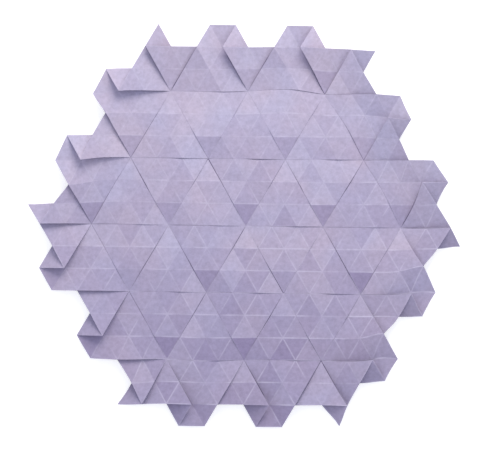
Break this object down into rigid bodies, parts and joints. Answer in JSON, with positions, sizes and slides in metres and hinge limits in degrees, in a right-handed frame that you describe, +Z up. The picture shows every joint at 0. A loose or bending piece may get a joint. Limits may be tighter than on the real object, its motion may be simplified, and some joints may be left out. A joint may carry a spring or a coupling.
{
  "type": "origami tessellation",
  "caption": "Hexagonal paper sheet folded flat into a field of triangular tiles, with narrow slits between them and a stepped rim of loose flaps.",
  "frame": {"origin": "middle of the folded work, on the surface that it lies on", "axes": "+Z up, out of the tiled front; +X along a row of tiles; +Y across the rows"},
  "size_m": [0.1276, 0.117, 0.0048],
  "materials": {
    "lilac_paper": "matt lilac paper with fine fibres and paler crease lines"
  },
  "bodies": {
    "root": {"folded_sheet": "lilac_paper"}
  },
  "joints": []
}
